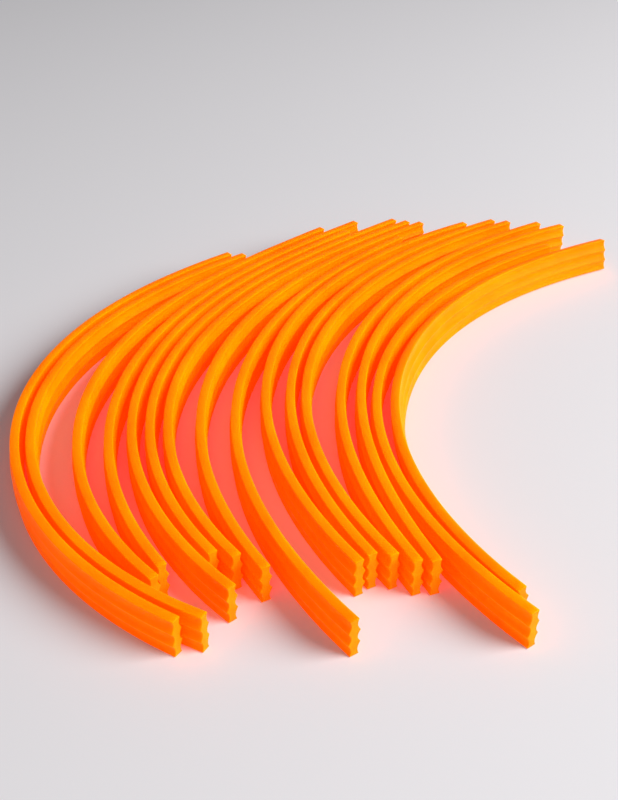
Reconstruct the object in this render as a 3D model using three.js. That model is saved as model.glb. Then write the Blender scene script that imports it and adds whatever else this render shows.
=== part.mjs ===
// Fan of loose serrated nylon cutting strips, standing on edge on a flat
// surface. Millimetres, +Z up. The origin is on the surface, in the middle of
// the footprint. The strips bulge towards -X, and their near ends are at -Y.

import * as THREE from 'three';

// One strip, cut square to length from the reel.
const STRIP_LENGTH = 260;
const STRIP_HEIGHT = 12.5;

// Widths across the section: at its top and bottom corners, over the teeth
// that run along both sides, and at the hollows between them.
const CORNER_WIDTH = 3.2;
const TOOTH_WIDTH = 4.2;
const HOLLOW_WIDTH = 2.2;
const HOLLOWS_PER_SIDE = 3;

// A strip keeps the bend of its reel, but its ends have sprung back a little
// straighter than its middle. Straight facets follow the bend.
const END_SPRINGBACK = 0.5;
const BEND_FACETS = 26;

// How each strip lies, from the outermost of the fan to the innermost. x and y
// place the middle of its length, and heading is the way it points there, in
// degrees from +X. radius is its mean radius of bend, and skew is how much
// more tightly than that its far end is bent. lean is how many degrees a strip
// tips towards the outside of its bend.
const STRIPS = [
  { x: -108.3, y: -17.3, heading: 87.6, radius: 136, skew: -0.24 },
  { x: -103.2, y: -17.7, heading: 87.4, radius: 132, skew: -0.3 },
  { x: -82.3, y: 12.6, heading: 73.5, radius: 166, skew: -0.66 },
  { x: -70.0, y: 20.7, heading: 71.4, radius: 180, skew: -0.56 },
  { x: -67.6, y: 7.6, heading: 77.4, radius: 162, skew: -0.46 },
  { x: -56.3, y: 25.4, heading: 69.8, radius: 173, skew: -0.64 },
  { x: -50.9, y: 24.0, heading: 70.2, radius: 170, skew: -0.6 },
  { x: -41.6, y: 20.5, heading: 72.7, radius: 179, skew: -0.36 },
  { x: -35.8, y: -3.6, heading: 82.7, radius: 179, skew: -0.12 },
  { x: -23.2, y: 21.9, heading: 76.0, radius: 164, skew: -0.08 },
  { x: -13.0, y: 26.1, heading: 73.5, radius: 170, skew: -0.14 },
  { x: -7.5, y: 25.5, heading: 72.9, radius: 167, skew: -0.2 },
  { x: 5.1, y: 24.4, heading: 72.3, radius: 177, skew: -0.08 },
  { x: 12.1, y: 25.1, heading: 72.1, radius: 173, skew: 0.08 },
  { x: 12.2, y: -1.4, heading: 79.0, radius: 153, skew: -0.08 },
  { x: 24.6, y: 11.2, heading: 71.6, radius: 150, skew: -0.2, lean: 11 },
];

// The line along the middle of a strip's foot. The middle of its length is over
// the origin, where it points along +X and bends towards -Y.
class FootLine extends THREE.Curve {
  constructor({ radius, skew, lean = 0 }) {
    super();
    this.radius = radius;
    this.skew = skew;
    this.lean = THREE.MathUtils.degToRad(lean);
  }

  // Angle turned between the middle and a point that is a fraction of the
  // half-length away, from -1 at the near end to 1 at the far end. It is the
  // integral of (1 + skew * f - END_SPRINGBACK * (f * f - 1 / 3)) / radius.
  turned(fraction) {
    const even = fraction + (END_SPRINGBACK * (fraction - fraction ** 3)) / 3;
    const lopsided = (this.skew * fraction ** 2) / 2;
    return (-(STRIP_LENGTH / 2) * (even + lopsided)) / this.radius;
  }

  getTangent(t, target = new THREE.Vector3()) {
    const angle = this.turned(2 * t - 1);
    return target.set(Math.cos(angle), Math.sin(angle), 0);
  }

  // The tangents added up in short steps, out from the middle. A leaning strip
  // stands on one corner of its foot, which lifts the middle of the foot.
  getPoint(t, target = new THREE.Vector3()) {
    const steps = BEND_FACETS;
    const reach = (t - 0.5) / steps;
    const tangent = new THREE.Vector3();
    target.set(0, 0, 0);
    for (let step = 0; step < steps; step += 1) {
      this.getTangent(0.5 + (step + 0.5) * reach, tangent);
      target.addScaledVector(tangent, reach * STRIP_LENGTH);
    }
    target.z = (CORNER_WIDTH / 2) * Math.sin(this.lean);
    return target;
  }

  // The section's own axes turn about the tangent by the lean.
  computeFrenetFrames(segments, closed) {
    const frames = super.computeFrenetFrames(segments, closed);
    frames.tangents.forEach((tangent, index) => {
      frames.normals[index].applyAxisAngle(tangent, -this.lean);
      frames.binormals[index].applyAxisAngle(tangent, -this.lean);
    });
    return frames;
  }
}

// Outline of the section. Swept along a centre line, its X runs from the top
// of the strip down, so the foot of the strip is at X = 0, and its Y runs from
// the inside of the bend to the outside.
function sectionShape() {
  const levels = 2 * HOLLOWS_PER_SIDE;
  const outside = [];
  for (let level = 0; level <= levels; level += 1) {
    const isCorner = level === 0 || level === levels;
    const isHollow = level % 2 === 1;
    const width = isCorner ? CORNER_WIDTH : isHollow ? HOLLOW_WIDTH : TOOTH_WIDTH;
    outside.push(new THREE.Vector2((-STRIP_HEIGHT * level) / levels, width / 2));
  }
  const inside = outside.map((point) => new THREE.Vector2(point.x, -point.y));
  return new THREE.Shape([...outside, ...inside.reverse()]);
}

function makeStrip(strip, name) {
  const geometry = new THREE.ExtrudeGeometry(sectionShape(), {
    extrudePath: new FootLine(strip),
    steps: BEND_FACETS,
    bevelEnabled: false,
  });
  const material = new THREE.MeshStandardMaterial({
    color: 0xff7a00,
    roughness: 0.45,
    metalness: 0,
  });
  const mesh = new THREE.Mesh(geometry, material);
  mesh.name = name;
  mesh.position.set(strip.x, strip.y, 0);
  mesh.rotation.z = THREE.MathUtils.degToRad(strip.heading);
  return mesh;
}

const fan = new THREE.Group();
STRIPS.forEach((strip, index) => {
  const number = String(index + 1).padStart(2, '0');
  fan.add(makeStrip(strip, `strip_${number}`));
});

// The footprint's middle goes to the origin.
const middle = new THREE.Box3().setFromObject(fan, true).getCenter(new THREE.Vector3());
fan.position.set(-middle.x, -middle.y, 0);

export default fan;
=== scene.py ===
# Looks for a fan of loose serrated nylon trimmer strips. Metres, +Z up.
# Each plain strip of the CAD frame is replaced by a finely shaped one that
# follows the same bend and keeps to the same size.
import math

import bpy
import numpy as np
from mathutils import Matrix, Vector


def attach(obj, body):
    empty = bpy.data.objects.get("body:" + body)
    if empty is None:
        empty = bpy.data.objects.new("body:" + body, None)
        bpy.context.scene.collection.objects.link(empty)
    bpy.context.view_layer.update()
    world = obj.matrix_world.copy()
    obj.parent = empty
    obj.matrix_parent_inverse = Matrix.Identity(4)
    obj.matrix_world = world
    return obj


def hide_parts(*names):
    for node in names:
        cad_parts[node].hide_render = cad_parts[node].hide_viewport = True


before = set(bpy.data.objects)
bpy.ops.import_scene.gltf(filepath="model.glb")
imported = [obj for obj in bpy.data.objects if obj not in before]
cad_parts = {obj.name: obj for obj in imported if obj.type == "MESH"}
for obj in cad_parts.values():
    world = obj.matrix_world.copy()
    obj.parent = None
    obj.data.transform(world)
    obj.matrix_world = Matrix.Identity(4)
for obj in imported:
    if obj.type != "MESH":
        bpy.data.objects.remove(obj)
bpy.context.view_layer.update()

# The camera looks along +Y and down, at a point on the level of the strips'
# upper edges, a little to the near left of the middle of the fan.
CAMERA_AIM = Vector((-0.0139, -0.0197, 0.0125))
CAMERA_DISTANCE = 0.4013
CAMERA_ELEVATION = math.radians(32.9)
CAMERA_LENS = 54.0

# The section of a strip: what the CAD model has, with the teeth and the
# corners rounded off and the hollows scooped out.
HOLLOWS = 3
CORNER_HALF = 0.0016
TOOTH_HALF = 0.0021
HOLLOW_HALF = 0.0011
CORNER_RADIUS = 0.00012
TOOTH_SOFTNESS = 0.07       # as a share of half the distance between teeth
POINTS_PER_HOLLOW = 12
RINGS_PER_FACET = 5
CUT_BEVEL = 0.00012         # how far the edges of a cut end are worn back
EDGE_BAND = 0.001           # depth in which a leaning strip's two edge corners lie

NYLON_IOR = 1.53
FLOOR_HALF = 3.0
FLOOR_DROP = 0.0001         # keeps the floor clear of the strips' lower edges


def make_camera():
    data = bpy.data.cameras.new("camera")
    data.lens = CAMERA_LENS
    data.clip_start = 0.01
    camera = bpy.data.objects.new("camera", data)
    bpy.context.scene.collection.objects.link(camera)
    back = Vector((0.0, -math.cos(CAMERA_ELEVATION), math.sin(CAMERA_ELEVATION)))
    camera.location = CAMERA_AIM + CAMERA_DISTANCE * back
    camera.rotation_euler = (math.pi / 2 - CAMERA_ELEVATION, 0.0, 0.0)
    bpy.context.scene.camera = camera


# --- node helpers -----------------------------------------------------------

def new_material(name):
    material = bpy.data.materials.new(name)
    material.use_nodes = True
    return material, material.node_tree, material.node_tree.nodes["Principled BSDF"]


def add_node(tree, kind, **settings):
    node = tree.nodes.new(kind)
    for key, value in settings.items():
        setattr(node, key, value)
    return node


def noise(tree, vector, scale, detail=2.0, roughness=0.5):
    node = add_node(tree, "ShaderNodeTexNoise")
    node.inputs["Scale"].default_value = scale
    node.inputs["Detail"].default_value = detail
    node.inputs["Roughness"].default_value = roughness
    tree.links.new(vector, node.inputs["Vector"])
    return node.outputs["Fac"]


def stretched(tree, vector, scale):
    node = add_node(tree, "ShaderNodeMapping")
    node.inputs["Scale"].default_value = scale
    tree.links.new(vector, node.inputs["Vector"])
    return node.outputs["Vector"]


def remap(tree, value, low, high):
    """The middle of a noise's range, where most of it lies, spread from low to high."""
    node = add_node(tree, "ShaderNodeMapRange")
    node.inputs["From Min"].default_value = 0.3
    node.inputs["From Max"].default_value = 0.7
    node.inputs["To Min"].default_value = low
    node.inputs["To Max"].default_value = high
    tree.links.new(value, node.inputs["Value"])
    return node.outputs["Result"]


def blend_colours(tree, factor, first, second):
    node = add_node(tree, "ShaderNodeMix", data_type="RGBA")
    node.inputs["A"].default_value = (*first, 1.0)
    node.inputs["B"].default_value = (*second, 1.0)
    tree.links.new(factor, node.inputs["Factor"])
    return node.outputs["Result"]


def bump(tree, height, distance, normal=None):
    node = add_node(tree, "ShaderNodeBump")
    node.inputs["Strength"].default_value = 1.0
    node.inputs["Distance"].default_value = distance
    tree.links.new(height, node.inputs["Height"])
    if normal is not None:
        tree.links.new(normal, node.inputs["Normal"])
    return node.outputs["Normal"]


# --- materials --------------------------------------------------------------

def set_nylon_scatter_and_painted_glow(shader, scatter_weight, scatter_depth, glow, strength):
    """What the body and the cut ends share: a low gloss, light scattered inside the nylon,
    and a painted glow (a constant emission) that stands in for the fluorescence and lifts the
    shaded walls and gaps.
    """
    shader.inputs["IOR"].default_value = NYLON_IOR
    shader.inputs["Specular IOR Level"].default_value = 0.06
    shader.inputs["Specular Tint"].default_value = (1.0, 0.6, 0.2, 1.0)
    shader.inputs["Subsurface Weight"].default_value = scatter_weight
    shader.inputs["Subsurface Radius"].default_value = (1.0, 0.35, 0.05)
    shader.inputs["Subsurface Scale"].default_value = scatter_depth
    # Painted glow: a constant emission that keeps the walls and gaps in shade bright
    # red-orange, standing in for the nylon's fluorescence.
    shader.inputs["Emission Color"].default_value = (*glow, 1.0)
    shader.inputs["Emission Strength"].default_value = strength


def nylon_material():
    """Translucent fluorescent orange nylon with a painted glow, with faint lines from the die
    along it.
    """
    material, tree, shader = new_material("fluorescent_nylon_painted_glow")
    surface = add_node(tree, "ShaderNodeUVMap", uv_map="strip").outputs["UV"]
    place = add_node(tree, "ShaderNodeTexCoord").outputs["Object"]

    clouds = remap(tree, noise(tree, place, 45.0, 3.0), 0.0, 1.0)
    colour = blend_colours(tree, clouds, (1.0, 0.24, 0.0), (1.0, 0.32, 0.0))
    tree.links.new(colour, shader.inputs["Base Color"])

    die_lines = noise(tree, stretched(tree, surface, (25.0, 4000.0, 1.0)), 1.0, 3.0, 0.6)
    grain = noise(tree, place, 2500.0, 2.0)
    normal = bump(tree, die_lines, 0.000012)
    normal = bump(tree, grain, 0.000006, normal)
    tree.links.new(normal, shader.inputs["Normal"])
    tree.links.new(remap(tree, die_lines, 0.34, 0.5), shader.inputs["Roughness"])

    # A red-orange painted glow that lifts the body where it lies in shade.
    set_nylon_scatter_and_painted_glow(shader, 0.8, 0.005, (1.0, 0.04, 0.0), 0.48)
    return material


def cut_material():
    """The sheared ends, with a paler painted glow of their own, and the marks of the blade
    across them.
    """
    material, tree, shader = new_material("cut_end")
    place = add_node(tree, "ShaderNodeTexCoord").outputs["Object"]
    clouds = remap(tree, noise(tree, place, 300.0, 3.0), 0.0, 1.0)
    colour = blend_colours(tree, clouds, (1.0, 0.23, 0.001), (1.0, 0.3, 0.002))
    tree.links.new(colour, shader.inputs["Base Color"])
    blade = noise(tree, stretched(tree, place, (900.0, 900.0, 6000.0)), 1.0, 3.0, 0.6)
    tree.links.new(bump(tree, blade, 0.00004), shader.inputs["Normal"])
    tree.links.new(remap(tree, blade, 0.4, 0.6), shader.inputs["Roughness"])
    # Paler painted glow: a constant emission that brightens the cut ends.
    set_nylon_scatter_and_painted_glow(shader, 0.6, 0.003, (1.0, 0.1, 0.0), 0.3)
    return material


def floor_material():
    material, _, shader = new_material("pale_floor")
    shader.inputs["Base Color"].default_value = (0.82, 0.8, 0.82, 1.0)
    shader.inputs["Roughness"].default_value = 0.9
    shader.inputs["Specular IOR Level"].default_value = 0.1
    return material


# --- strips -----------------------------------------------------------------

def edge_lines(node):
    """Points along the middles of a CAD strip's foot and of its top, near end first.

    Each has two corners at each facet of the bend, and every strip runs away
    from the near end without turning back, so sorting by Y pairs them.
    """
    corners = np.array([v.co for v in node.data.vertices])
    corners = np.unique(np.round(corners, 7), axis=0)
    corners = corners[np.argsort(corners[:, 1])]
    heights = corners[:, 2]
    foot = corners[heights < heights.min() + EDGE_BAND]
    top = corners[heights > heights.max() - EDGE_BAND]
    return (foot[0::2] + foot[1::2]) / 2, (top[0::2] + top[1::2]) / 2


def smooth_line(points, per_gap):
    """A Catmull-Rom curve through the points, with its tangents."""
    before = 2 * points[0] - points[1]
    after = 2 * points[-1] - points[-2]
    padded = np.vstack([before, points, after])
    places, tangents = [], []
    for gap in range(len(points) - 1):
        a, b, c, d = padded[gap:gap + 4]
        steps = per_gap + 1 if gap == len(points) - 2 else per_gap
        for step in range(steps):
            t = step / per_gap
            places.append(b + 0.5 * t * ((c - a) + t * ((2 * a - 5 * b + 4 * c - d)
                                                       + t * (3 * (b - c) + d - a))))
            tangents.append(0.5 * ((c - a) + t * (2 * (2 * a - 5 * b + 4 * c - d)
                                                 + 3 * t * (3 * (b - c) + d - a))))
    tangents = np.array(tangents)
    return np.array(places), tangents / np.linalg.norm(tangents, axis=1)[:, None]


def side_outline(height):
    """(half width, z) up one side of the section, from the foot to the top."""
    pitch = height / HOLLOWS
    points = []
    for hollow in range(HOLLOWS):
        first = CORNER_HALF if hollow == 0 else TOOTH_HALF
        last = CORNER_HALF if hollow == HOLLOWS - 1 else TOOTH_HALF
        for step in range(POINTS_PER_HOLLOW + (hollow == HOLLOWS - 1)):
            share = (1 - math.cos(math.pi * step / POINTS_PER_HOLLOW)) / 2
            away = math.hypot(min(share, 1 - share) * 2, TOOTH_SOFTNESS)
            tips = first + (last - first) * share
            depth = (first + last) / 2 - HOLLOW_HALF
            half = tips - depth * (2 * away - away * away)
            z = (hollow + share) * pitch
            from_edge = min(z, height - z) / CORNER_RADIUS
            if from_edge < 1:
                half -= CORNER_RADIUS * (1 - math.sqrt(1 - (1 - from_edge) ** 2))
            points.append((half, z))
    return np.array(points)


def section_ring(height):
    """(across, z) round the section, up the inside of the bend and down the outside."""
    side = side_outline(height)
    other = side[::-1] * (-1, 1)
    return np.vstack([side, other])


def make_strip(name, node, materials):
    """A finely shaped strip that follows the CAD strip: its bend, its lean and its ends."""
    foot, top = edge_lines(node)
    height = np.linalg.norm(top - foot, axis=1).mean()
    ring = section_ring(height)
    places, tangents = smooth_line(foot, RINGS_PER_FACET)
    ups = (smooth_line(top, RINGS_PER_FACET)[0] - places) / height
    inward = np.cross(tangents, ups)
    count = len(ring)

    # Rings along the strip, with a slightly smaller one closing each cut end.
    middle = np.array([0.0, height / 2])
    spread = np.abs(ring - middle).max(axis=0)
    worn = middle + (ring - middle) * (1 - CUT_BEVEL / spread)
    rings = []
    for index in range(len(places)):
        rings.append((places[index], inward[index], ups[index], ring))
    first = (places[0], inward[0], ups[0], worn)
    last = (places[-1], inward[-1], ups[-1], worn)
    rings[0] = (places[0] + tangents[0] * CUT_BEVEL, inward[0], ups[0], ring)
    rings[-1] = (places[-1] - tangents[-1] * CUT_BEVEL, inward[-1], ups[-1], ring)
    rings = [first, *rings, last]

    vertices = []
    for place, side, up, outline in rings:
        vertices.append(place + outline[:, :1] * side + outline[:, 1:] * up)
    vertices = np.vstack(vertices)

    faces = []
    for row in range(len(rings) - 1):
        for column in range(count):
            after = (column + 1) % count
            faces.append((row * count + column, row * count + after,
                          (row + 1) * count + after, (row + 1) * count + column))
    body_faces = len(faces)
    faces.append(tuple(range(count - 1, -1, -1)))
    faces.append(tuple(range((len(rings) - 1) * count, len(rings) * count)))

    mesh = bpy.data.meshes.new(name + "_nylon")
    mesh.from_pydata(vertices.tolist(), [], faces)
    add_strip_map(mesh, rings, ring, count)
    for material in materials:
        mesh.materials.append(material)
    for polygon in mesh.polygons:
        is_end = polygon.index >= body_faces
        polygon.material_index = 1 if is_end else 0
        polygon.use_smooth = not is_end
    piece = bpy.data.objects.new(name + "_nylon", mesh)
    bpy.context.scene.collection.objects.link(piece)
    return piece


def add_strip_map(mesh, rings, outline, count):
    """A UV map in metres: U along the strip and V round its section."""
    along = np.array([place for place, *_ in rings])
    along = np.concatenate([[0], np.cumsum(np.linalg.norm(np.diff(along, axis=0), axis=1))])
    closed = np.vstack([outline, outline[:1]])
    around = np.concatenate([[0], np.cumsum(np.linalg.norm(np.diff(closed, axis=0), axis=1))])
    layer = mesh.uv_layers.new(name="strip")
    for polygon in mesh.polygons:
        columns = [mesh.loops[i].vertex_index % count for i in polygon.loop_indices]
        wraps = 0 in columns and count - 1 in columns and len(columns) == 4
        for i, column in zip(polygon.loop_indices, columns):
            row = mesh.loops[i].vertex_index // count
            v = around[count] if wraps and column == 0 else around[column]
            layer.data[i].uv = (along[row], v)


def make_strips():
    materials = [nylon_material(), cut_material()]
    for name, node in sorted(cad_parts.items()):
        piece = make_strip(name, node, materials)
        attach(piece, name)
        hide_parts(name)


# --- stage ------------------------------------------------------------------

def make_floor():
    half = FLOOR_HALF
    mesh = bpy.data.meshes.new("floor")
    corners = [(-half, -half, 0.0), (half, -half, 0.0), (half, half, 0.0), (-half, half, 0.0)]
    mesh.from_pydata(corners, [], [(0, 1, 2, 3)])
    mesh.materials.append(floor_material())
    floor = bpy.data.objects.new("floor", mesh)
    floor.location.z = -FLOOR_DROP
    bpy.context.scene.collection.objects.link(floor)


def make_light(name, place, size, power):
    """A round soft light, aimed at the middle of the fan."""
    data = bpy.data.lights.new(name, "AREA")
    data.shape = "DISK"
    data.size = size
    data.energy = power
    light = bpy.data.objects.new(name, data)
    light.location = place
    light.rotation_euler = (-Vector(place)).to_track_quat("-Z", "Y").to_euler()
    bpy.context.scene.collection.objects.link(light)


def make_stage():
    make_floor()
    make_light("key", (1.35, -0.35, 1.0), 1.3, 39.5)
    make_light("front", (0.1, -1.2, 0.7), 0.9, 2.6)
    world = bpy.data.worlds.new("studio")
    world.use_nodes = True
    background = world.node_tree.nodes["Background"]
    background.inputs["Color"].default_value = (0.96, 0.97, 1.0, 1.0)
    background.inputs["Strength"].default_value = 0.15
    bpy.context.scene.world = world
    bpy.context.scene.view_settings.view_transform = "Standard"


make_camera()
make_stage()
make_strips()
